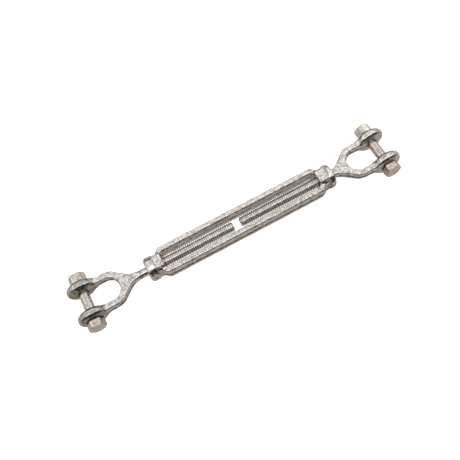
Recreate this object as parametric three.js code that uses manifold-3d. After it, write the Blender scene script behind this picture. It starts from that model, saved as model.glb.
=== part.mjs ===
// Rigging turnbuckle, jaw and jaw, drop forged and hot-dip galvanised.
//
// One open body joins two jaw ends. The left jaw end has a left-hand thread and the right one a
// right-hand thread, so turning the body draws both jaws in or lets both out. Each jaw is closed
// by a hex bolt and a nut.
//
// Millimetres. X runs along the threads, Y along the jaw bolts, Z is up. The origin is on the
// thread axis, midway between the two bolt axes.

import * as THREE from 'three';
import { mergeVertices } from 'three/addons/utils/BufferGeometryUtils.js';
import Module from 'manifold-3d';

const wasm = await Module();
wasm.setup();

// ---- driving dimensions -------------------------------------------------------------------
const threadDiameter = 6.35; // 1/4 inch
const threadPitch = 1.27; // 20 threads to the inch
const takeUp = 16 * threadDiameter; // length of the open window in the body, 4 inches
const boltDiameter = 6;
const clearance = 0.3; // gap between pieces that touch
const pinToPin = 191.4; // distance between the bolt axes as stored
const leftTurnsOut = 5; // turns by which the left jaw was started later than the right one

// ---- body ---------------------------------------------------------------------------------
const bodyCentreX = (leftTurnsOut * threadPitch) / 2;
const hubAcrossFlats = 13;
const leftHubLength = 10.4;
const rightHubLength = 9.6;
const collarRadius = 7.4; // each hub ends in a turned collar
const leftCollarLength = 5.4;
const rightCollarLength = 3.6;
const collarRound = 2; // length of the collar's rounded outer end
const collarMouth = 5.3; // radius of the flat left at the outer end
const boreRadius = threadDiameter / 2 + clearance / 2;
const reinHeight = 8.6;
const reinLand = 0.6; // flat band along the parting line
const reinDraft = 0.5; // how far the sides lean in from the parting line to the top
const windowHalfWidth = 5;
const reinWidth = 3.85; // at the parting line
const windowCorner = 2.6;
const reinStraight = 2.4; // the reins run straight to this far short of the window's ends
const reinBend = 2.6; // and then turn in over this length
const reinEnd = 3.2; // they end inside the hubs, this far past the window's ends
const reinDropIn = 3.6; // and this far in from where they ran straight

// ---- jaw ends -----------------------------------------------------------------------------
const earRadius = 8.8;
const earFlatRadius = 5.2;
const earTallness = 0.95; // height of an ear over its length
const earGap = 12;
const earThickness = 6.3;
const earMiddle = (earGap + earThickness) / 2;
const armHeight = 6;
const armWidth = 4;
const armEdgeRound = 0.9;
const loopRadius = 6.9; // inside of the loop
const loopDepth = 20.75; // bolt axis to the inside end of the loop
const loopCentre = loopDepth - loopRadius;
const armRun = 6; // the arms keep their width for about this far past the loop's centre
const shoulderX = 24; // where the arms' outside turns into the neck
const shoulderHalfWidth = 5.9;
const shoulderRun = 3; // the outside slopes into the shoulder over this run
const shoulderDrop = 2.1; // and this drop
const neckEnd = 28.4; // bolt axis to the end of the flat neck
const neckRun = 2.6; // the outside slopes out of the neck over this run
const neckDrop = 0.6; // and this drop
const neckRoot = 31.5; // bolt axis to the plain shank
const shankRadius = 2.6;
const threadStart = 37.6; // bolt axis to the first thread
const rodReach = 93.3; // bolt axis to the end of the rod
const rodRadius = threadDiameter / 2 - clearance / 2;
const rodChamfer = 0.7;

// ---- bolts and nuts -----------------------------------------------------------------------
const hexAcrossFlats = 9.525; // 3/8 inch
const hexCornerDrop = 0.7; // height of the chamfer turned on the corners
const hexSkim = 0.1; // the turned end faces lie this far inside the flats
const headHeight = 4.6;
const nutHeight = 5.6;
const boltPastNut = 0.9;
const boltChamfer = 0.6;
const hexTurns = { leftBolt: 5, leftNut: -4, rightBolt: -7, rightNut: 6 }; // degrees

const ROUND = 36; // facets around the ears, rods and bores
const SMALL_ROUND = 24; // facets around the bolts
const CURVE_STEPS = 8; // points along each curve of an outline
const PAST = 1; // how far a cutter or an inner end runs past a face
const MERGE_DISTANCE = 1e-4;

// ---- solids -------------------------------------------------------------------------------
function solidFrom(geometry) {
  const bare = geometry.clone();
  bare.deleteAttribute('normal');
  bare.deleteAttribute('uv');
  const merged = mergeVertices(bare, MERGE_DISTANCE);
  return new wasm.Manifold(
    new wasm.Mesh({
      numProp: 3,
      vertProperties: new Float32Array(merged.attributes.position.array),
      triVerts: new Uint32Array(merged.index.array),
    }),
  );
}

function geometryFrom(solid) {
  const { vertProperties, triVerts } = solid.getMesh();
  const geometry = new THREE.BufferGeometry();
  geometry.setAttribute('position', new THREE.BufferAttribute(vertProperties, 3));
  geometry.setIndex(new THREE.BufferAttribute(triVerts, 1));
  const flat = geometry.toNonIndexed();
  flat.computeVertexNormals();
  return flat;
}

// A profile of [radius, distance] points turned about Y. It starts and ends on the axis.
function turnedOnY(profile, facets) {
  return new THREE.LatheGeometry(
    profile.map(([radius, distance]) => new THREE.Vector2(radius, distance)),
    facets,
  );
}

// The same profile turned about X, with the distances running along +X.
function turnedOnX(profile, facets) {
  return turnedOnY(profile, facets).rotateZ(-Math.PI / 2);
}

function cylinderProfile(radius, from, to, chamfer = 0) {
  if (chamfer === 0) {
    return [[0, from], [radius, from], [radius, to], [0, to]];
  }
  return [[0, from], [radius, from], [radius, to - chamfer], [radius - chamfer, to], [0, to]];
}

// Points along an ellipse in a profile, from one angle to another, in quarter turns.
function ellipseArc(centre, reach, fromQuarter, toQuarter, steps) {
  const points = [];
  for (let i = 0; i <= steps; i += 1) {
    const angle = (fromQuarter + ((toQuarter - fromQuarter) * i) / steps) * (Math.PI / 2);
    points.push([centre[0] + reach[0] * Math.cos(angle), centre[1] + reach[1] * Math.sin(angle)]);
  }
  return points;
}

function hexagon(acrossFlats) {
  const cornerRadius = acrossFlats / 2 / Math.cos(Math.PI / 6);
  const corners = [];
  for (let i = 0; i < 6; i += 1) {
    const angle = (i * Math.PI) / 3;
    corners.push(new THREE.Vector2(Math.cos(angle), Math.sin(angle)).multiplyScalar(cornerRadius));
  }
  return new THREE.Shape(corners);
}

// ---- body ---------------------------------------------------------------------------------
// Both reins and the webs inside the hubs: one ring, drafted up and down from its parting line.
function reinRing() {
  const draftHeight = (reinHeight - reinLand) / 2;
  return new THREE.ExtrudeGeometry(ringOutline(), {
    depth: reinLand,
    bevelThickness: draftHeight,
    bevelSize: reinDraft,
    bevelOffset: -reinDraft,
    bevelSegments: 1,
    curveSegments: CURVE_STEPS,
  }).translate(0, 0, -reinLand / 2);
}

// The reins run straight, then bend in to meet the hubs' corners just past the window's ends.
function ringOutline() {
  const outside = windowHalfWidth + reinWidth;
  const bendX = takeUp / 2 - reinStraight;
  const quarter = new THREE.CubicBezierCurve(
    new THREE.Vector2(bendX, outside),
    new THREE.Vector2(bendX + reinBend, outside),
    new THREE.Vector2(bendX + reinBend, outside - reinDropIn),
    new THREE.Vector2(takeUp / 2 + reinEnd, outside - reinDropIn),
  ).getPoints(CURVE_STEPS);
  const back = quarter.toReversed();
  const ring = new THREE.Shape([
    ...quarter,
    ...mirrored(back, 1, -1),
    ...mirrored(quarter, -1, -1),
    ...mirrored(back, -1, 1),
  ]);
  ring.holes.push(roundedRectangle(takeUp / 2 - reinDraft, windowHalfWidth, windowCorner));
  return ring;
}

function mirrored(points, signX, signY) {
  return points.map((point) => new THREE.Vector2(point.x * signX, point.y * signY));
}

function roundedRectangle(halfLength, halfWidth, radius) {
  const path = new THREE.Path();
  const x = halfLength - radius;
  const y = halfWidth - radius;
  path.absarc(x, y, radius, 0, Math.PI / 2);
  path.absarc(-x, y, radius, Math.PI / 2, Math.PI);
  path.absarc(-x, -y, radius, Math.PI, Math.PI * 1.5);
  path.absarc(x, -y, radius, Math.PI * 1.5, Math.PI * 2);
  return path;
}

// A hexagonal hub on +X, with flats up and down and corners at the sides. It ends in a turned collar.
function hub(length, collarLength) {
  const innerEnd = takeUp / 2;
  const outerEnd = innerEnd + length;
  const prism = new THREE.ExtrudeGeometry(hexagon(hubAcrossFlats), {
    depth: length - collarRound,
    bevelEnabled: false,
  })
    .rotateX(Math.PI / 2)
    .rotateZ(Math.PI / 2)
    .translate(innerEnd, 0, 0);
  const roundedEnd = ellipseArc(
    [collarMouth, outerEnd - collarRound],
    [collarRadius - collarMouth, collarRound],
    0, 1, CURVE_STEPS,
  );
  const collarStart = outerEnd - collarLength;
  const collar = turnedOnX(
    [[0, collarStart], [collarRadius, collarStart], ...roundedEnd, [0, outerEnd]],
    ROUND,
  );
  return solidFrom(prism).add(solidFrom(collar));
}

function body() {
  const rightHub = hub(rightHubLength, rightCollarLength);
  const leftHub = hub(leftHubLength, leftCollarLength).rotate([0, 0, 180]);
  const reach = takeUp / 2 + Math.max(leftHubLength, rightHubLength) + PAST;
  const bore = turnedOnX(cylinderProfile(boreRadius, -reach, reach), ROUND);
  return solidFrom(reinRing()).add(rightHub).add(leftHub).subtract(solidFrom(bore));
}

// ---- jaw end, with its bolt axis at the origin and its rod along +X ---------------------------
// From one ear, along the outside of its arm, to the end of the neck.
function armOutsideLine() {
  const outside = loopRadius + armWidth;
  const root = earMiddle + armWidth / 2;
  const line = new THREE.Path();
  line.moveTo(0, root);
  line.bezierCurveTo(loopCentre / 3, root, (loopCentre * 2) / 3, outside, loopCentre, outside);
  line.bezierCurveTo(
    loopCentre + armRun, outside,
    shoulderX - shoulderRun, shoulderHalfWidth + shoulderDrop,
    shoulderX, shoulderHalfWidth,
  );
  line.quadraticCurveTo(neckEnd - neckRun, shankRadius + neckDrop, neckEnd, shankRadius);
  return line.getPoints(CURVE_STEPS);
}

// From the middle of the loop, round its inside, to the same ear.
function armInsideLine() {
  const root = earMiddle - armWidth / 2;
  const line = new THREE.Path();
  line.absarc(loopCentre, 0, loopRadius, 0, Math.PI / 2);
  line.bezierCurveTo((loopCentre * 2) / 3, loopRadius, loopCentre / 3, root, 0, root);
  return line.getPoints(CURVE_STEPS);
}

function fork() {
  const outside = armOutsideLine();
  const inside = armInsideLine();
  const outline = new THREE.Shape([
    ...outside,
    ...mirrored(outside.toReversed(), 1, -1),
    ...mirrored(inside.toReversed(), 1, -1),
    ...inside.slice(1),
  ]);
  return new THREE.ExtrudeGeometry(outline, {
    depth: armHeight - 2 * armEdgeRound,
    bevelThickness: armEdgeRound,
    bevelSize: armEdgeRound,
    bevelOffset: -armEdgeRound,
    bevelSegments: 2,
  }).translate(0, 0, -armHeight / 2 + armEdgeRound);
}

// A forged ear: a thick disc on the bolt axis, flat around the hole and round at the rim.
function ear(side) {
  const rim = ellipseArc(
    [earFlatRadius, earMiddle],
    [earRadius - earFlatRadius, earThickness / 2],
    -1, 1, CURVE_STEPS,
  );
  const disc = turnedOnY(
    [[0, earGap / 2], ...rim, [0, earGap / 2 + earThickness]],
    ROUND,
  ).scale(1, 1, earTallness);
  return side > 0 ? disc : disc.rotateX(Math.PI);
}

// The neck, the plain shank and the rod. The rod is drawn at its thread's outside diameter.
function rod() {
  const neckRadius = armHeight / 2;
  return turnedOnX(
    [
      [0, loopDepth + PAST],
      [neckRadius, loopDepth + PAST],
      [neckRadius, neckEnd - PAST],
      [shankRadius, neckRoot],
      [shankRadius, threadStart],
      [rodRadius, threadStart + rodChamfer],
      [rodRadius, rodReach - rodChamfer],
      [rodRadius - rodChamfer, rodReach],
      [0, rodReach],
    ],
    ROUND,
  );
}

function jawEnd() {
  const reach = earGap / 2 + earThickness + PAST;
  const hole = turnedOnY(
    cylinderProfile(boltDiameter / 2 + clearance, -reach, reach),
    SMALL_ROUND,
  );
  return solidFrom(fork())
    .add(solidFrom(rod()))
    .add(solidFrom(ear(1)))
    .add(solidFrom(ear(-1)))
    .subtract(solidFrom(hole));
}

// ---- bolt and nut, on the Y axis --------------------------------------------------------------
// A hex prism along Y whose corners are turned down at the ends named.
function chamferedHex(from, to, chamferFrom, chamferTo) {
  const clearOfCorners = hexAcrossFlats / 2 / Math.cos(Math.PI / 6) + hexSkim;
  const faceRadius = hexAcrossFlats / 2 - hexSkim;
  const prism = new THREE.ExtrudeGeometry(hexagon(hexAcrossFlats), {
    depth: to - from,
    bevelEnabled: false,
  })
    .rotateX(Math.PI / 2)
    .translate(0, to, 0);
  const envelope = turnedOnY(
    [
      [0, from],
      [chamferFrom ? faceRadius : clearOfCorners, from],
      [clearOfCorners, from + hexCornerDrop],
      [clearOfCorners, to - hexCornerDrop],
      [chamferTo ? faceRadius : clearOfCorners, to],
      [0, to],
    ],
    SMALL_ROUND,
  );
  return solidFrom(prism).intersect(solidFrom(envelope));
}

function bolt() {
  const headFace = -(earGap / 2 + earThickness + clearance);
  const tip = -headFace + nutHeight + boltPastNut;
  const shank = turnedOnY(
    cylinderProfile(boltDiameter / 2, headFace - PAST, tip, boltChamfer),
    SMALL_ROUND,
  );
  return chamferedHex(headFace - headHeight, headFace, true, false).add(solidFrom(shank));
}

function nut() {
  const face = earGap / 2 + earThickness + clearance;
  const hole = turnedOnY(
    cylinderProfile(boltDiameter / 2 + clearance, face - PAST, face + nutHeight + PAST),
    SMALL_ROUND,
  );
  return chamferedHex(face, face + nutHeight, true, true).subtract(solidFrom(hole));
}

// ---- assembly ---------------------------------------------------------------------------------
const forgedZinc = { color: 0xb9b4ac, roughness: 0.48, metalness: 0.9 };
const boltZinc = { color: 0xb3a99c, roughness: 0.42, metalness: 0.9 };

function piece(name, solid, finish) {
  const mesh = new THREE.Mesh(geometryFrom(solid), new THREE.MeshStandardMaterial(finish));
  mesh.name = name;
  return mesh;
}

const turnbuckle = new THREE.Group();

const bodyMesh = piece('turnbuckle_body', body(), forgedZinc);
bodyMesh.position.x = bodyCentreX;
turnbuckle.add(bodyMesh);

for (const side of ['left', 'right']) {
  const boltX = side === 'left' ? -pinToPin / 2 : pinToPin / 2;

  const jaw = piece(`${side}_jaw_end`, jawEnd(), forgedZinc);
  jaw.position.x = boltX;
  jaw.rotation.z = side === 'left' ? 0 : Math.PI;
  turnbuckle.add(jaw);

  const boltMesh = piece(`${side}_jaw_bolt`, bolt(), boltZinc);
  boltMesh.position.x = boltX;
  boltMesh.rotation.y = THREE.MathUtils.degToRad(hexTurns[`${side}Bolt`]);
  turnbuckle.add(boltMesh);

  const nutMesh = piece(`${side}_jaw_nut`, nut(), boltZinc);
  nutMesh.position.x = boltX;
  nutMesh.rotation.y = THREE.MathUtils.degToRad(hexTurns[`${side}Nut`]);
  turnbuckle.add(nutMesh);
}

export default turnbuckle;
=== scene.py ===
"""Jaw-and-jaw rigging turnbuckle, drop forged and hot-dip galvanised.

The forgings are made as distance fields and meshed with a surface net, so that every edge is
rounded and every join has a fillet, as on a dipped forging. The rods and the bolts' shanks are
turned directly, with helical threads, and joined to them. Shapes are worked out in millimetres, in
each piece's own frame, and placed in metres by the boxes of the CAD nodes that they stand for.
"""

import math

import bpy
import numpy as np
from mathutils import Matrix, Vector, noise


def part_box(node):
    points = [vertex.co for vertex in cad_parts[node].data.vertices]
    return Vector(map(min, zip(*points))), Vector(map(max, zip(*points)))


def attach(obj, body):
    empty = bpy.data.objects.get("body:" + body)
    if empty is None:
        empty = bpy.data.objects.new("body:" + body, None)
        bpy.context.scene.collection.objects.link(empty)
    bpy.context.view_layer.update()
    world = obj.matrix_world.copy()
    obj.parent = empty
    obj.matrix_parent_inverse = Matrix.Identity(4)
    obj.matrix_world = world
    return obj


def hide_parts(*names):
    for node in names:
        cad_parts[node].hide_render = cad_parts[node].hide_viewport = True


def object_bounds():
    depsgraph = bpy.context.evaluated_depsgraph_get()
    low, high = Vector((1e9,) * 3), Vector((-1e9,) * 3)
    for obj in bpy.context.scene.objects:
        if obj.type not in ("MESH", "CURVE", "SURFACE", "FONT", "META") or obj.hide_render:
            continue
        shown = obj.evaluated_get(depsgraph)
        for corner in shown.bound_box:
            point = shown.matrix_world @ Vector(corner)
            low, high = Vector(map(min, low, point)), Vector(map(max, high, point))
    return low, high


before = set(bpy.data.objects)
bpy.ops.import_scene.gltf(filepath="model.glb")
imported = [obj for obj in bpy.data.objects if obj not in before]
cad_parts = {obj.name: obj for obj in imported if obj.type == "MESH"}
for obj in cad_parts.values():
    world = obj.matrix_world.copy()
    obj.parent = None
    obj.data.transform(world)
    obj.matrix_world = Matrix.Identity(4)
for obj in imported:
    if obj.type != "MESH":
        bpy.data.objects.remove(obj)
cad_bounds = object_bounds()

MM = 0.001

# ---- places and sizes from the frame's boxes, in millimetres -------------------------------------


def box_mm(node):
    low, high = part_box(node)
    return low / MM, high / MM


BODY_LOW, BODY_HIGH = box_mm("turnbuckle_body")
JAW_LOW, JAW_HIGH = box_mm("right_jaw_end")
BOLT_LOW, BOLT_HIGH = box_mm("right_jaw_bolt")
NUT_LOW, NUT_HIGH = box_mm("right_jaw_nut")

WINDOW_HALF_LENGTH = 50.8  # 4 inches of take-up
LEFT_HUB = 10.4
RIGHT_HUB = BODY_HIGH.x - BODY_LOW.x - 2 * WINDOW_HALF_LENGTH - LEFT_HUB
BODY_CENTRE = BODY_LOW.x + LEFT_HUB + WINDOW_HALF_LENGTH
REIN_OUTSIDE = BODY_HIGH.y
EAR_RADIUS = 8.8
BOLT_AXIS = JAW_HIGH.x - EAR_RADIUS
UNEVENNESS = 0.06  # the forging's waves have this much room above the ears
EAR_TALLNESS = (JAW_HIGH.z - UNEVENNESS) / EAR_RADIUS
EAR_OUTSIDE = JAW_HIGH.y
ROD_REACH = BOLT_AXIS - JAW_LOW.x
HEAD_TOP = -BOLT_LOW.y
BOLT_TIP = BOLT_HIGH.y
NUT_FACE = NUT_LOW.y
NUT_TOP = NUT_HIGH.y

# ---- the body's forging --------------------------------------------------------------------------
WINDOW_HALF_WIDTH = 5.0
WINDOW_CORNER = 2.6
REIN_HALF_HEIGHT = 4.55
REIN_SLOPE = 0.06  # how far the top falls outwards for each millimetre of width
REIN_DRAFT = 0.05  # how far the sides lean in for each millimetre of height
REIN_EDGE = 0.95
REIN_IN_HUB = 4.7  # how far past the window's end the webs run inside the hubs
REIN_FILLET = 0.7  # where the reins meet the hubs
HUB_HALF_FLATS = 6.5
HUB_EDGE = 0.4
HUB_SHORT = 1.2  # the hexagon stops this far short of the outer end
COLLAR_RADIUS = 7.4
COLLAR_MOUTH = 5.3  # the flat that is left at the outer end
COLLAR_ROUND = 2.0
COLLAR_EDGE = 0.3
COLLAR_END_EDGE = 0.2
COLLAR_FILLET = 0.12
LEFT_COLLAR = 5.4
RIGHT_COLLAR = 3.6
BORE_RADIUS = 3.3
BORE_EDGE = 0.35
FLASH_OUT = 0.45  # the trimmed flash stands out this far along the parting line
FLASH_FILLET = 0.1
FORGING_WAVES = ((4.0, 0.07), (1.5, 0.045))  # size and depth of the waves, then of the lumps
NOISE_SEED = 1  # unseeded, the noise would start from the clock
noise.seed_set(NOISE_SEED)

# ---- the jaw ends' forging, with the bolt axis at 0 and the rod along +X -------------------------
EAR_FLAT = 4.2
EAR_FULLNESS = 2.4  # 2 would be an ellipse, more is squarer
EAR_FILLET = 1.6  # where the ears meet the arms
EAR_WEATHERING = {"left": 1.0, "right": 0.35}
EAR_GAP = 12.0
EAR_MIDDLE = (EAR_OUTSIDE + EAR_GAP / 2) / 2
EAR_HALF_THICKNESS = (EAR_OUTSIDE - EAR_GAP / 2) / 2
ARM_HALF_HEIGHT = 3.0
ARM_WIDTH = 4.05
ARM_DRAFT = 0.05
ARM_EDGE = 0.95
ARM_PAST_AXIS = 3.5  # the arms run this far past the bolt axis, inside the ears
LOOP_RADIUS = 6.85
LOOP_DEPTH = 20.75
LOOP_CENTRE = LOOP_DEPTH - LOOP_RADIUS
SHOULDER = (24.0, 5.9)
NECK_END = 31.5
NECK_DROP = 0.7  # how much flatter the neck's end is than the arms
DISH_DEPTH = 0.1  # the web's top is dished by this much
DISH_FROM = 0.7  # from this far inside its edge
DISH_RUN = 0.9  # and reaches its depth over this length
SHANK_RADIUS = 2.6
SHANK_TAPER = 0.25  # inside the neck it thins by this much for each millimetre
SHANK_TAPER_FROM = NECK_END - 2.5
SHANK_FROM = LOOP_DEPTH + 2
SHANK_FILLET = 1.0
SHANK_JOIN = 33.5  # the forging ends here inside the rod
ROD_INSET = 1.5  # the rod starts this far inside the forging
ROD_SKIM = 0.03  # and this much thinner than the forging's shank
HOLE_CLEARANCE = 0.12
HOLE_EDGE = 0.35
THREAD_START = 37.0

# ---- threads -------------------------------------------------------------------------------------
ROD_PITCH = 1.27  # 20 threads to the inch
ROD_CREST = 3.08
ROD_ROOT = 2.5
BOLT_PITCH = 1.0
BOLT_RADIUS = 3.0
BOLT_ROOT = 2.5
BOLT_PLAIN_PAST_GAP = 2.0  # the bolt's thread starts this far inside the far ear
BAR_CHAMFER = 0.75
THREAD_FLAT = 0.12  # share of a cosine wave that is cut off to make the crest and the root flat
RUNOUT = 1.5  # pitches over which a thread reaches its depth
RIGHT_HAND = 1
LEFT_HAND = -1

# ---- hexagons ------------------------------------------------------------------------------------
HEX_HALF_FLATS = 4.7625  # 3/8 inch across flats
HEX_EDGE = 0.85
HEX_END_EDGE = 0.35
HEX_FACE_INSET = 0.5  # the chamfer starts this far inside the flats
HEAD_CHAMFER = 1.4
NUT_CHAMFERS = (0.9, 1.2)  # below and on top
NUT_THREAD = (BOLT_RADIUS - 0.08, BOLT_RADIUS + 0.22)  # crest and root, clear of the bolt's
NUT_COUNTERSINK = 0.35
NUT_THREAD_EDGE = 0.08
SHANK_IN_HEAD = 1.5
HEX_TURNS = {"left_bolt": 5, "left_nut": -4, "right_bolt": -7, "right_nut": 6}  # degrees

# ---- grids ---------------------------------------------------------------------------------------
FORGED_STEP = 0.25
JAW_STEP = 0.28
STRAIGHT_STEP = 0.6  # along the straight reins
FINE_END = 5.0  # the body's ends are meshed finer from this far inside the window
FLASH_STEP = 0.12
FLASH_REACH = 0.6  # the fine layers lie within this height of the parting plane
LAYER_GAP = 0.2  # between the last fine layer and the first coarse one
HEAD_STEP = 0.2
NUT_STEP = 0.16
MARGIN = 0.6  # room round a forging in its grid
HEX_MARGIN = 0.5  # and round a hexagon


# ---- distance fields -----------------------------------------------------------------------------
def rounded_max(a, b, radius):
    """Where two solids meet in an outside edge: their overlap, with that edge rounded."""
    corner = np.hypot(np.maximum(a + radius, 0), np.maximum(b + radius, 0))
    return np.minimum(np.maximum(a, b), -radius) + corner


def rounded_min(a, b, radius):
    """Where two solids meet in an inside corner: both of them, with that corner filleted."""
    return -rounded_max(-a, -b, radius)


def hexagon(u, v, half_flats, edge):
    """Distance to a hexagon with its flats facing along v and its corners rounded."""
    u, v = np.abs(u), np.abs(v)
    slanted = u * math.cos(math.pi / 6) + v / 2
    return rounded_max(v - half_flats, slanted - half_flats, edge)


def turned_end(distance_in, radius, mouth, rim, length):
    """A turned end: a cylinder of a radius that curves in to its mouth over a length."""
    along = np.clip(1 - distance_in / length, 0, 1)
    allowed = mouth + (rim - mouth) * np.sqrt(1 - along**2)
    slope = (rim - mouth) / length
    return (radius - allowed) / math.hypot(1, slope)


def curve_line(*controls, steps=24):
    """A Bezier curve through its control points, as arrays of x and y."""
    t = np.linspace(0, 1, steps)[:, None]
    points = [np.array(p, float)[None, :].repeat(steps, 0) for p in controls]
    while len(points) > 1:
        points = [a * (1 - t) + b * t for a, b in zip(points, points[1:])]
    return points[0][:, 0], points[0][:, 1]


def under_line(x, y, line):
    """Distance above a line y = f(x), allowing for its slope."""
    slope = np.gradient(line[1], line[0])
    height = np.interp(x, line[0], line[1])
    return (y - height) / np.hypot(1, np.interp(x, line[0], slope))


def flash(edge, up):
    """The ridge along the parting line: it stands out from the edge, with slopes of 45 degrees.

    It is capped inside the forging, where the slopes would otherwise come out at the top.
    """
    ridge = (edge - FLASH_OUT + up) / math.sqrt(2)
    return np.maximum(ridge, up - 2 * FLASH_OUT)


# ---- meshing -------------------------------------------------------------------------------------
CORNERS = np.array([(i, j, k) for i in (0, 1) for j in (0, 1) for k in (0, 1)])
CELL_EDGES = [(a, b) for a in range(8) for b in range(a) if abs(CORNERS[a] - CORNERS[b]).sum() == 1]


def crossing_points(values, low, size):
    """One point in each cell: the mean of where the surface crosses the cell's edges."""
    total = np.zeros((len(values), 3))
    crossings = np.zeros(len(values))
    for a, b in CELL_EDGES:
        crossed = (values[:, a] < 0) != (values[:, b] < 0)
        gap = np.where(crossed, values[:, a] - values[:, b], 1)
        share = np.where(crossed, values[:, a] / gap, 0)[:, None]
        place = CORNERS[a] * (1 - share) + CORNERS[b] * share
        total += np.where(crossed[:, None], place, 0)
        crossings += crossed
    return low + total / crossings[:, None] * size


def cell_quads(inside, number):
    """A quad round each grid edge that the surface crosses."""
    quads = []
    for axis in range(3):
        b, c = (axis + 1) % 3, (axis + 2) % 3
        here = np.take(inside, range(inside.shape[axis] - 1), axis)
        there = np.take(inside, range(1, inside.shape[axis]), axis)
        at = np.argwhere(here != there)
        outward = here[tuple(at.T)]
        around = []
        for step_b, step_c in ((0, 0), (-1, 0), (-1, -1), (0, -1)):
            cell = at.copy()
            cell[:, b] += step_b
            cell[:, c] += step_c
            around.append(number[tuple(cell.T)])
        quad = np.stack(around, 1)
        quads += [quad[outward], quad[~outward][:, ::-1]]
    return np.concatenate(quads)


def settled(points, field, rounds=3, reach=0.1, nudge=0.01, least_slope=0.2):
    """The points moved onto the field's surface, along its slope, by up to a reach each round."""
    for _ in range(rounds):
        value = field(*points.T)
        slope = np.empty_like(points)
        for axis in range(3):
            step = np.zeros(3)
            step[axis] = nudge
            slope[:, axis] = (field(*(points + step).T) - field(*(points - step).T)) / (2 * nudge)
        steepness = np.maximum((slope**2).sum(1), least_slope)
        points = points - slope * np.clip(value / steepness, -reach, reach)[:, None]
    return points


def surface_net(field, x, y, z):
    """The field's surface as points and quads, on the grid lines x, y and z."""
    value = field(*np.meshgrid(x, y, z, indexing="ij"))
    inside = value < 0
    shape = np.array(value.shape) - 1
    filled = sum(
        inside[i : i + shape[0], j : j + shape[1], k : k + shape[2]].astype(int)
        for i, j, k in CORNERS
    )
    cells = np.argwhere((filled > 0) & (filled < 8))
    number = np.full(shape, -1)
    number[tuple(cells.T)] = np.arange(len(cells))
    values = np.stack([value[tuple((cells + corner).T)] for corner in CORNERS], 1)
    low = np.stack([line[cells[:, i]] for i, line in enumerate((x, y, z))], 1)
    high = np.stack([line[cells[:, i] + 1] for i, line in enumerate((x, y, z))], 1)
    points = crossing_points(values, low, high - low)
    return settled(points, field), cell_quads(inside, number)


def even(low, high, step):
    return np.linspace(low, high, round((high - low) / step) + 1)


def forged_surface(points):
    """The points with the slight unevenness of a dipped forging: waves, with lumps on them."""
    for size, depth in FORGING_WAVES:
        waves = [noise.noise_vector(Vector(p) / size) for p in points.tolist()]
        points = points + np.array(waves) * depth
    return points


def piece_mesh(name, points, faces):
    mesh = bpy.data.meshes.new(name)
    mesh.from_pydata((points * MM).tolist(), [], [list(face) for face in faces])
    mesh.validate()
    mesh.shade_smooth()
    return mesh


def new_piece(name, points, faces):
    piece = bpy.data.objects.new(name, piece_mesh(name, points, faces))
    bpy.context.scene.collection.objects.link(piece)
    return piece


def joined(piece, other):
    """One closed mesh of two that overlap. The other object goes."""
    union = piece.modifiers.new("union", "BOOLEAN")
    union.operation = "UNION"
    union.solver = "MANIFOLD"
    union.object = other
    bpy.context.view_layer.update()
    result = piece.evaluated_get(bpy.context.evaluated_depsgraph_get())
    mesh = bpy.data.meshes.new_from_object(result)
    piece.modifiers.clear()
    piece.data = mesh
    bpy.data.objects.remove(other)
    return piece


# ---- the body ------------------------------------------------------------------------------------
# The reins' outside, from their straight part in to the hub's corner.
REIN_LINE = curve_line(
    (WINDOW_HALF_LENGTH - 1.9, REIN_OUTSIDE),
    (WINDOW_HALF_LENGTH + 1.4, REIN_OUTSIDE),
    (WINDOW_HALF_LENGTH + 1.1, REIN_OUTSIDE - 3.2),
    (WINDOW_HALF_LENGTH + 4.8, REIN_OUTSIDE - 3.8),
)


def rein_ring(x, y, z):
    """Both reins and the webs that join them inside the hubs, with the flash line round them."""
    across, along, up = np.abs(y), np.abs(x), np.abs(z)
    outside = under_line(along, across, REIN_LINE)
    past_end = along - (WINDOW_HALF_LENGTH - WINDOW_CORNER)
    past_side = across - (WINDOW_HALF_WIDTH - WINDOW_CORNER)
    corner = np.hypot(np.maximum(past_end, 0), np.maximum(past_side, 0))
    window = corner + np.minimum(np.maximum(past_end, past_side), 0) - WINDOW_CORNER
    edge = np.maximum(outside, -window)
    sides = edge + REIN_DRAFT * up
    top = REIN_HALF_HEIGHT - REIN_SLOPE * np.maximum(across - WINDOW_HALF_WIDTH, 0)
    ring = rounded_max(sides, up - top, REIN_EDGE)
    ring = rounded_min(ring, flash(edge, up), FLASH_FILLET)
    return np.maximum(ring, along - (WINDOW_HALF_LENGTH + REIN_IN_HUB))


def hub(x, y, z):
    """A hexagonal hub with a turned collar at its outer end."""
    along = np.abs(x)
    collar_length = np.where(x < 0, LEFT_COLLAR, RIGHT_COLLAR)
    from_end = WINDOW_HALF_LENGTH + np.where(x < 0, LEFT_HUB, RIGHT_HUB) - along
    starts = WINDOW_HALF_LENGTH - along
    block = rounded_max(hexagon(y, z, HUB_HALF_FLATS, HUB_EDGE), starts, HUB_EDGE)
    block = np.maximum(block, HUB_SHORT - from_end)
    radius = np.hypot(y, z)
    collar = turned_end(from_end, radius, COLLAR_MOUTH, COLLAR_RADIUS, COLLAR_ROUND)
    collar = rounded_max(collar, from_end - collar_length, COLLAR_EDGE)
    collar = rounded_max(collar, -from_end, COLLAR_END_EDGE)
    return rounded_min(block, collar, COLLAR_FILLET)


def body_field(x, y, z):
    whole = rounded_min(rein_ring(x, y, z), hub(x, y, z), REIN_FILLET)
    bore = np.hypot(y, z) - BORE_RADIUS
    return rounded_max(whole, -bore, BORE_EDGE)


def layers(reach, step):
    """Grid heights up to a reach above and below the parting plane, finer beside it."""
    near_flash = even(0, FLASH_REACH, FLASH_STEP)
    upper = even(FLASH_REACH + LAYER_GAP, reach, step)
    return np.concatenate([-upper[::-1], -near_flash[:0:-1], near_flash, upper])


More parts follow.
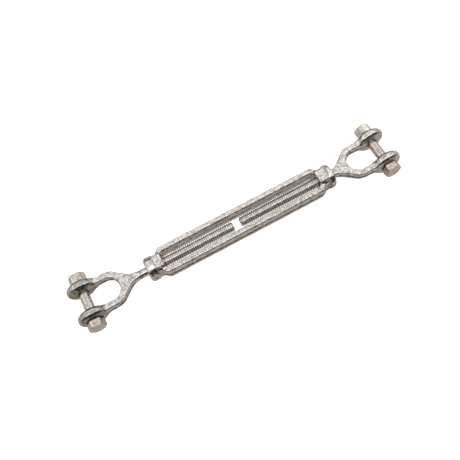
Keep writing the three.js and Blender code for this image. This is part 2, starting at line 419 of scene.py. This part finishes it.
def make_body():
    fine_from = WINDOW_HALF_LENGTH - FINE_END
    left_end = WINDOW_HALF_LENGTH + LEFT_HUB + MARGIN
    right_end = WINDOW_HALF_LENGTH + RIGHT_HUB + MARGIN
    left_lines = -even(fine_from, left_end, FORGED_STEP)[::-1]
    middle_lines = even(-fine_from, fine_from, STRAIGHT_STEP)[1:-1]
    right_lines = even(fine_from, right_end, FORGED_STEP)
    x = np.concatenate([left_lines, middle_lines, right_lines])
    half_width = REIN_OUTSIDE + 2 * FLASH_OUT
    y = even(-half_width, half_width, FORGED_STEP)
    z = layers(COLLAR_RADIUS + MARGIN, FORGED_STEP)
    points, quads = surface_net(body_field, x, y, z)
    points = forged_surface(points)
    points[:, 0] += BODY_CENTRE
    return new_piece("forged_body", points, quads)


# ---- the jaw ends --------------------------------------------------------------------------------
# The arms' outside, from beside the loop round the shoulder, and on along the neck.
ARM_OUTSIDE = LOOP_RADIUS + ARM_WIDTH
SHOULDER_LINE = curve_line(
    (LOOP_CENTRE, ARM_OUTSIDE), (LOOP_CENTRE + 6, ARM_OUTSIDE), (SHOULDER[0] - 3, 8), SHOULDER
)
NECK_LINE = curve_line(SHOULDER, (SHOULDER[0] + 2.6, 3.9), (NECK_END - 3, 2.3), (NECK_END, 2.2))
ARM_LINE = tuple(np.concatenate([a, b[1:]]) for a, b in zip(SHOULDER_LINE, NECK_LINE))


def fork(x, y, z):
    """The two arms, the loop between them and the web that narrows into the neck."""
    across, up = np.abs(y), np.abs(z)
    outside = under_line(x, across, ARM_LINE)
    round_loop = np.hypot(x - LOOP_CENTRE, y) - LOOP_RADIUS
    loop = np.where(x > LOOP_CENTRE, round_loop, across - LOOP_RADIUS)
    edge = np.maximum(outside, -loop)
    sides = edge + ARM_DRAFT * up
    narrowing = np.clip((x - SHOULDER[0]) / (NECK_END - SHOULDER[0]), 0, 1)
    height = ARM_HALF_HEIGHT - NECK_DROP * narrowing**2
    dish = DISH_DEPTH * np.clip((-edge - DISH_FROM) / DISH_RUN, 0, 1)
    solid = rounded_max(sides, up - height + dish, ARM_EDGE)
    solid = rounded_min(solid, flash(edge, up), FLASH_FILLET)
    solid = np.maximum(solid, x - NECK_END)
    return np.maximum(solid, -ARM_PAST_AXIS - x)


def ears(x, y, z):
    """Two lens-shaped ears, flat round the hole and rounded to the rim."""
    from_middle = (np.abs(y) - EAR_MIDDLE) / EAR_HALF_THICKNESS
    radius = np.hypot(x, z / EAR_TALLNESS)
    rim = np.maximum(radius - EAR_FLAT, 0) / (EAR_RADIUS - EAR_FLAT)
    outline = (rim**EAR_FULLNESS + np.abs(from_middle) ** EAR_FULLNESS) ** (1 / EAR_FULLNESS)
    return (outline - 1) * EAR_HALF_THICKNESS


def jaw_field(x, y, z):
    whole = rounded_min(fork(x, y, z), ears(x, y, z), EAR_FILLET)
    buried = np.maximum(SHANK_TAPER_FROM - x, 0)
    shank = np.hypot(y, z) - SHANK_RADIUS + SHANK_TAPER * buried
    shank = np.maximum(shank, np.maximum(x - SHANK_JOIN, SHANK_FROM - x))
    whole = rounded_min(whole, shank, SHANK_FILLET)
    hole = np.hypot(x, z) - (BOLT_RADIUS + HOLE_CLEARANCE)
    return rounded_max(whole, -hole, HOLE_EDGE)


def thread_height(phase):
    """Height of a rolled thread, from 0 at its flat root to 1 at its flat crest."""
    wave = 0.5 + 0.5 * np.cos(2 * math.pi * phase)
    return np.clip((wave - THREAD_FLAT) / (1 - 2 * THREAD_FLAT), 0, 1)


def threaded_bar(length, plain, thread_from, crest, root, pitch, hand, facets=40, per_pitch=12):
    """A bar along +X: plain at first, then threaded up to a chamfered end. Points and faces."""
    plain_rings = even(0, thread_from, 1.0)[:-1]
    thread_rings = even(thread_from, length, pitch / per_pitch)
    along = np.concatenate([plain_rings, thread_rings])[:, None]
    angle = np.linspace(0, 2 * math.pi, facets, endpoint=False)[None, :]
    phase = along / pitch - hand * angle / (2 * math.pi)
    threaded = root + (crest - root) * thread_height(phase)
    runout = np.clip((along - thread_from) / (RUNOUT * pitch), 0, 1)
    radius = plain + (threaded - plain) * runout
    radius = np.minimum(radius, crest - BAR_CHAMFER + (length - along))
    x = np.broadcast_to(along, radius.shape)
    ring = np.stack([x, radius * np.cos(angle), radius * np.sin(angle)], 2)
    points = np.concatenate([ring.reshape(-1, 3), [[0, 0, 0], [length, 0, 0]]])
    return points, tube_faces(len(along), facets)


def tube_faces(rings, facets):
    """Quads between neighbouring rings, and a fan on each end round the last two points."""
    faces = []
    start_point, end_point = rings * facets, rings * facets + 1
    for j in range(facets):
        k = (j + 1) % facets
        faces += [(i * facets + j, i * facets + k, (i + 1) * facets + k, (i + 1) * facets + j)
                  for i in range(rings - 1)]
        faces.append((start_point, k, j))
        last = (rings - 1) * facets
        faces.append((end_point, last + j, last + k))
    return [face[::-1] for face in faces]


def make_jaw(side):
    """A jaw end: the forged fork and its threaded rod, as one closed mesh."""
    sign = -1 if side == "left" else 1
    hand = LEFT_HAND if side == "left" else RIGHT_HAND
    x = even(-EAR_RADIUS - MARGIN, SHANK_JOIN + MARGIN, JAW_STEP)
    y = even(-EAR_OUTSIDE - MARGIN, EAR_OUTSIDE + MARGIN, JAW_STEP)
    z = layers(EAR_RADIUS + MARGIN, JAW_STEP)
    points, quads = surface_net(jaw_field, x, y, z)
    jaw = new_piece(f"forged_{side}_jaw", turned_jaw(forged_surface(points), sign), quads)

    rod_start = SHANK_JOIN - ROD_INSET
    rod_points, rod_faces = threaded_bar(
        ROD_REACH - rod_start, SHANK_RADIUS - ROD_SKIM, THREAD_START - rod_start,
        ROD_CREST, ROD_ROOT, ROD_PITCH, hand,
    )
    rod_points[:, 0] += rod_start
    rod = new_piece("rod", turned_jaw(rod_points, sign), rod_faces)
    return joined(jaw, rod)


def turned_jaw(points, sign):
    """From the jaw's own frame, with the rod along +X, to its place on one side."""
    if sign < 0:
        return points + [-BOLT_AXIS, 0, 0]
    return points * [-1, -1, 1] + [BOLT_AXIS, 0, 0]


# ---- bolts and nuts, along Y ---------------------------------------------------------------------
def chamfered_hex(x, y, z, low, high, low_round, high_round):
    """A hexagonal block along Y whose corners are turned down at its ends."""
    block = hexagon(x, z, HEX_HALF_FLATS, HEX_EDGE)
    radius = np.hypot(x, z)
    face = HEX_HALF_FLATS - HEX_FACE_INSET
    crown = HEX_HALF_FLATS / math.cos(math.pi / 6)
    for distance_in, length in ((y - low, low_round), (high - y, high_round)):
        block = rounded_max(block, -distance_in, HEX_END_EDGE)
        if length:
            chamfer = turned_end(distance_in, radius, face, crown, length)
            block = rounded_max(block, chamfer, HEX_END_EDGE)
    return block


def bolt_head(x, y, z):
    return chamfered_hex(x, y, z, -HEAD_TOP, -NUT_FACE, HEAD_CHAMFER, 0)


def nut_field(x, y, z):
    block = chamfered_hex(x, y, z, NUT_FACE, NUT_TOP, *NUT_CHAMFERS)
    phase = y / BOLT_PITCH - np.arctan2(x, z) / (2 * math.pi)
    crest, root = NUT_THREAD
    bore = crest + (root - crest) * thread_height(phase)
    from_end = np.minimum(y - NUT_FACE, NUT_TOP - y)
    bore = np.maximum(bore, BOLT_RADIUS + NUT_COUNTERSINK - from_end)
    return rounded_max(block, bore - np.hypot(x, z), NUT_THREAD_EDGE)


def hex_grid(low, high, step):
    """Grid lines round a hexagonal block along Y, from a low end to a high one."""
    reach = HEX_HALF_FLATS / math.cos(math.pi / 6) + HEX_MARGIN
    across = even(-reach, reach, step)
    return across, even(low - HEX_MARGIN, high + HEX_MARGIN, step), across


def placed_on_bolt_axis(points, side, turn):
    """Turned about Y by a few degrees and moved to one jaw's bolt axis."""
    turned = points @ np.array(Matrix.Rotation(math.radians(turn), 3, "Y")).T
    sign = -1 if side == "left" else 1
    return turned + [sign * BOLT_AXIS, 0, 0]


def make_bolt(side):
    turn = HEX_TURNS[f"{side}_bolt"]
    points, quads = surface_net(bolt_head, *hex_grid(-HEAD_TOP, -NUT_FACE, HEAD_STEP))
    bolt = new_piece(f"hex_{side}_bolt", placed_on_bolt_axis(points, side, turn), quads)

    shank_from = -NUT_FACE - SHANK_IN_HEAD
    thread_from = EAR_GAP / 2 + BOLT_PLAIN_PAST_GAP
    bar, faces = threaded_bar(
        BOLT_TIP - shank_from, BOLT_RADIUS, thread_from - shank_from,
        BOLT_RADIUS, BOLT_ROOT, BOLT_PITCH, RIGHT_HAND,
    )
    bar = np.stack([-bar[:, 1], bar[:, 0] + shank_from, bar[:, 2]], 1)
    shank = new_piece("shank", placed_on_bolt_axis(bar, side, turn), faces)
    return joined(bolt, shank)


def make_nut(side):
    points, quads = surface_net(nut_field, *hex_grid(NUT_FACE, NUT_TOP, NUT_STEP))
    turn = HEX_TURNS[f"{side}_nut"]
    return new_piece(f"hex_{side}_nut", placed_on_bolt_axis(points, side, turn), quads)


# ---- materials -----------------------------------------------------------------------------------
def node(tree, kind, **values):
    made = tree.nodes.new(kind)
    for key, value in values.items():
        if key in made.inputs:
            made.inputs[key].default_value = value
        else:
            setattr(made, key, value)
    return made


def noise_node(tree, coordinates, scale, detail, roughness=0.6):
    made = node(tree, "ShaderNodeTexNoise", Scale=scale, Detail=detail, Roughness=roughness)
    tree.links.new(coordinates, made.inputs["Vector"])
    return made.outputs["Fac"]


def ramp(tree, factor, *stops):
    """A colour ramp over a factor. Each stop is its place and its grey or colour."""
    made = tree.nodes.new("ShaderNodeValToRGB")
    elements = made.color_ramp.elements
    while len(elements) < len(stops):
        elements.new(0.5)
    for element, (place, colour) in zip(elements, stops):
        element.position = place
        element.color = (*colour, 1) if isinstance(colour, tuple) else (colour, colour, colour, 1)
    tree.links.new(factor, made.inputs["Fac"])
    return made.outputs["Color"]


def mixed(tree, factor, a, b, blend="MIX"):
    made = tree.nodes.new("ShaderNodeMix")
    made.data_type = "RGBA"
    made.blend_type = blend
    for socket, value in (("Factor", factor), ("A", a), ("B", b)):
        target = next(s for s in made.inputs if s.name == socket and s.enabled)
        if isinstance(value, (int, float)):
            target.default_value = value
        elif isinstance(value, tuple):
            target.default_value = (*value, 1)
        else:
            tree.links.new(value, target)
    return next(s for s in made.outputs if s.enabled)


def bumped(tree, height, strength, distance, normal=None):
    made = node(tree, "ShaderNodeBump", Strength=strength, Distance=distance)
    tree.links.new(height, made.inputs["Height"])
    if normal is not None:
        tree.links.new(normal, made.inputs["Normal"])
    return made.outputs["Normal"]


def zinc(name, light, dark, stain, rough, lumpiness, hollow_shade):
    """Hot-dip zinc: mottled grey, lumpy, with painted shade that darkens hollows to a share of its
    colour.

    A piece's own "dulled" attribute says where it has weathered darker and rougher, in patches.
    """
    material = bpy.data.materials.new(name)
    material.use_nodes = True
    tree = material.node_tree
    shader = tree.nodes["Principled BSDF"]
    shader.inputs["Metallic"].default_value = 1.0
    place = tree.nodes.new("ShaderNodeTexCoord").outputs["Object"]

    mottle = noise_node(tree, place, 420, 6, 0.65)
    lumps = noise_node(tree, place, 900, 2, 0.5)
    grain = noise_node(tree, place, 2600, 3, 0.6)
    patches = noise_node(tree, place, 90, 3)
    pointiness = tree.nodes.new("ShaderNodeNewGeometry").outputs["Pointiness"]

    colour = ramp(tree, mottle, (0.38, dark), (0.58, light))
    colour = mixed(tree, ramp(tree, patches, (0.45, 0.0), (0.75, 0.7)), colour, stain)
    speckle = ramp(tree, lumps, (0.32, 1 - 0.45 * lumpiness), (0.58, 1.0))
    colour = mixed(tree, 1.0, colour, speckle, "MULTIPLY")
    # painted shade: creases, fillets and thread roots are darkened by their pointiness, where shade
    # would fall
    painted_hollow_shade = ramp(tree, pointiness, (0.42, hollow_shade), (0.5, 1.0))
    colour = mixed(tree, 1.0, colour, painted_hollow_shade, "MULTIPLY")
    dulled = node(tree, "ShaderNodeAttribute", attribute_name="dulled").outputs["Fac"]
    dulled = mixed(tree, 1.0, dulled, ramp(tree, patches, (0.35, 0.55), (0.6, 1.0)), "MULTIPLY")
    colour = mixed(tree, dulled, colour, (0.42, 0.42, 0.38), "MULTIPLY")
    tree.links.new(colour, shader.inputs["Base Color"])

    roughness = ramp(tree, mottle, (0.3, rough - 0.08), (0.7, rough + 0.1))
    roughness = mixed(tree, dulled, roughness, (0.27, 0.27, 0.27))
    tree.links.new(roughness, shader.inputs["Roughness"])
    normal = bumped(tree, mottle, 0.5 * lumpiness, 0.0002)
    normal = bumped(tree, lumps, 0.6 * lumpiness, 0.00026, normal)
    normal = bumped(tree, grain, 0.5, 0.00004, normal)
    tree.links.new(normal, shader.inputs["Normal"])
    return material


# ---- studio, in metres ---------------------------------------------------------------------------
FLOOR_REACH = 4.0


def softbox(name, place, size, radiance):
    """A white rectangular softbox that faces the turnbuckle, as bright as its radiance."""
    data = bpy.data.lights.new(name, "AREA")
    data.shape = "RECTANGLE"
    data.size, data.size_y = size
    data.energy = radiance * math.pi * size[0] * size[1]
    light = bpy.data.objects.new(name, data)
    light.location = place
    light.rotation_euler = (-Vector(place)).to_track_quat("-Z", "Y").to_euler()
    bpy.context.scene.collection.objects.link(light)


def wide_plane(name, level, colour, glow=0.0, near=-FLOOR_REACH, far=FLOOR_REACH):
    """A level plane from a near to a far edge."""
    mesh = bpy.data.meshes.new(name)
    corners = [(-FLOOR_REACH, near), (FLOOR_REACH, near), (FLOOR_REACH, far), (-FLOOR_REACH, far)]
    mesh.from_pydata([(x, y, level) for x, y in corners], [], [(0, 1, 2, 3)])
    plane = bpy.data.objects.new(name, mesh)
    bpy.context.scene.collection.objects.link(plane)
    material = bpy.data.materials.new(name)
    material.use_nodes = True
    shader = material.node_tree.nodes["Principled BSDF"]
    shader.inputs["Base Color"].default_value = (*colour, 1)
    shader.inputs["Roughness"].default_value = 0.9
    shader.inputs["Emission Color"].default_value = (1, 1, 1, 1)
    shader.inputs["Emission Strength"].default_value = glow
    mesh.materials.append(material)
    return plane


def make_floor():
    """A pale glowing floor, and a deeper one that the metal mirrors instead: its near part is
    painted shade, darker and browner like floor in the turnbuckle's shadow, with a faint glow.
    """
    level = cad_bounds[0].z
    floor = wide_plane("floor", level, (0.8, 0.8, 0.8), glow=0.9)
    floor.visible_glossy = False
    floor.visible_diffuse = False
    floor.visible_shadow = False
    mirrored = level - 0.025
    edge = 0.08
    # painted shade: the near part of the mirrored floor is darker and browner, like floor in the
    # turnbuckle's shadow
    near = wide_plane("shaded_near_floor", mirrored, (0.62, 0.55, 0.49), glow=0.06, far=edge)
    near.visible_camera = False
    far = wide_plane("far_floor", mirrored, (0.9, 0.87, 0.84), near=edge)
    far.visible_camera = False


def make_world():
    """A dark room for the metal to mirror, behind a pale backdrop that only the camera sees."""
    world = bpy.data.worlds.new("studio")
    world.use_nodes = True
    tree = world.node_tree
    camera_ray = tree.nodes.new("ShaderNodeLightPath").outputs["Is Camera Ray"]
    colour = mixed(tree, camera_ray, (0.035, 0.032, 0.032), (0.9, 0.9, 0.9))
    tree.links.new(colour, tree.nodes["Background"].inputs["Color"])
    bpy.context.scene.world = world


def make_studio():
    make_world()
    softbox("key", (0.0, -0.19, 0.62), (1.6, 0.38), 1.9)
    softbox("far_sweep", (0.0, 0.5, 0.55), (1.8, 0.75), 0.5)
    softbox("overhead", (0.0, 0.4, 0.7), (1.8, 1.0), 0.62)
    softbox("left_side", (-0.8, 0.15, 0.36), (0.9, 0.85), 0.8)
    softbox("right_side", (0.8, 0.15, 0.36), (0.9, 0.85), 0.8)
    make_floor()
    bpy.context.scene.view_settings.view_transform = "Standard"


def make_camera():
    """The camera looks down from the near left, turned so that the turnbuckle lies diagonally."""
    azimuth, elevation, roll = (math.radians(a) for a in (-14.38, 65.05, -14.58))
    distance = 0.3376
    target = Vector((-0.0051, -0.0012, 0))
    focal_share = 1.26717  # focal length over the frame's width
    data = bpy.data.cameras.new("camera")
    data.lens = data.sensor_width * focal_share
    data.clip_start = 0.01
    camera = bpy.data.objects.new("camera", data)
    back = Vector((
        math.sin(azimuth) * math.cos(elevation),
        -math.cos(azimuth) * math.cos(elevation),
        math.sin(elevation),
    ))
    camera.location = target + back * distance
    level = (-back).to_track_quat("-Z", "Y").to_matrix()
    camera.rotation_euler = (level @ Matrix.Rotation(roll, 3, "Z")).to_euler()
    bpy.context.scene.collection.objects.link(camera)
    bpy.context.scene.camera = camera


# ---- assembly ------------------------------------------------------------------------------------
def finish_threads(jaw):
    """The rod's own finish on its faces, from where it leaves the forging inwards."""
    jaw.data.materials.append(THREADED)
    rod_from = (BOLT_AXIS - SHANK_JOIN) * MM
    beyond_crest = (ROD_CREST + 0.1) * MM
    for face in jaw.data.polygons:
        x, y, z = face.center
        if abs(x) < rod_from and math.hypot(y, z) < beyond_crest:
            face.material_index = 1


def dull_ears(jaw, amount):
    """Marks the ears as weathered by an amount, fading out where they meet the arms."""
    vertices = jaw.data.vertices
    place = np.empty(3 * len(vertices))
    vertices.foreach_get("co", place)
    x, _, z = place.reshape(-1, 3).T / MM
    past_rim = np.hypot(np.abs(x) - BOLT_AXIS, z) - EAR_RADIUS
    dulled = jaw.data.attributes.new("dulled", "FLOAT", "POINT")
    dulled.data.foreach_set("value", amount * np.clip(0.5 - past_rim / 2, 0, 1))


def stand_for(piece, body, cad_node, material):
    piece.data.materials.clear()
    piece.data.materials.append(material)
    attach(piece, body)
    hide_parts(cad_node)


make_camera()
make_studio()

FORGED = zinc(
    "forged_zinc", light=(0.82, 0.79, 0.76), dark=(0.5, 0.47, 0.445), stain=(0.7, 0.63, 0.57),
    rough=0.2, lumpiness=1.0, hollow_shade=0.3,
)
THREADED = zinc(
    "threaded_zinc", light=(0.84, 0.81, 0.78), dark=(0.6, 0.57, 0.54), stain=(0.74, 0.67, 0.61),
    rough=0.2, lumpiness=0.3, hollow_shade=0.15,
)
BOLTED = zinc(
    "bolt_zinc", light=(0.68, 0.63, 0.58), dark=(0.42, 0.38, 0.34), stain=(0.6, 0.52, 0.44),
    rough=0.2, lumpiness=0.6, hollow_shade=0.45,
)

stand_for(make_body(), "body", "turnbuckle_body", FORGED)
for side in ("left", "right"):
    jaw = make_jaw(side)
    stand_for(jaw, f"{side}_jaw", f"{side}_jaw_end", FORGED)
    finish_threads(jaw)
    dull_ears(jaw, EAR_WEATHERING[side])
    stand_for(make_bolt(side), f"{side}_bolt", f"{side}_jaw_bolt", BOLTED)
    stand_for(make_nut(side), f"{side}_nut", f"{side}_jaw_nut", BOLTED)
